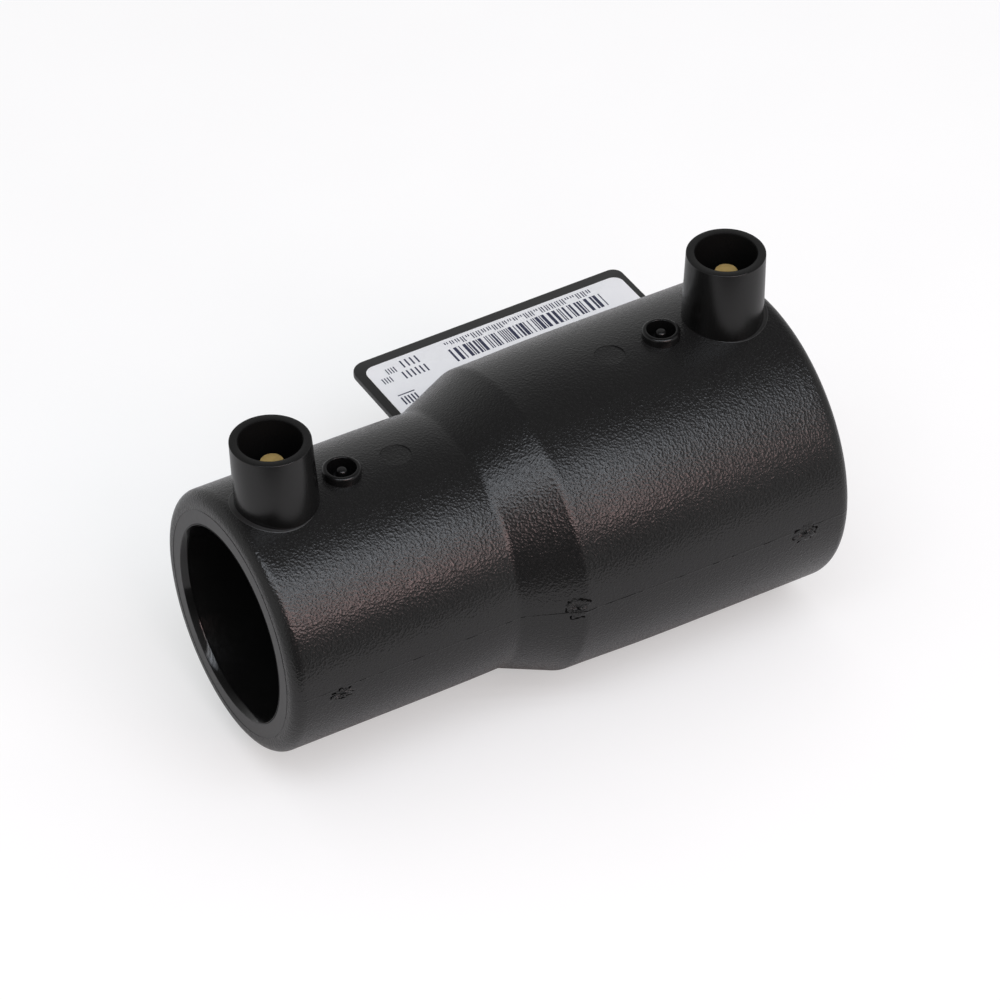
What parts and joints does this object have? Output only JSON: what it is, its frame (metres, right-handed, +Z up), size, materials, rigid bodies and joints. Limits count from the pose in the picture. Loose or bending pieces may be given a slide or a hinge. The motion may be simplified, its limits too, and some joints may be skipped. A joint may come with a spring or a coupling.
{
  "type": "electrofusion reducer",
  "caption": "Electrofusion pipe reducer: a black moulded coupler with a socket at each end, a conical waist, shrouded welding terminals, melt indicators and a flat label flag.",
  "frame": {"origin": "centre of the large socket's mouth, on the pipe axis", "axes": "+X out of the large mouth along the pipe axis, +Z up through both terminals, +Y towards the label flag; the small mouth is at x = -101 mm"},
  "size_m": [0.101, 0.0741, 0.0647],
  "materials": {
    "moulding": "leathery moulded grain, satin",
    "sleeve": "smooth, satin",
    "wire": "drawn, bare",
    "terminal": "turned, bright",
    "indicator": "smooth, satin",
    "label": "white film, printed in dark bars"
  },
  "bodies": {
    "root": {"fitting_body": "moulding", "small_coil_sleeve": "sleeve", "large_coil_sleeve": "sleeve", "heating_wire": "wire", "small_terminal_pin": "terminal", "large_terminal_pin": "terminal", "small_melt_indicator": "indicator", "large_melt_indicator": "indicator", "identity_label": "label"}
  },
  "joints": []
}
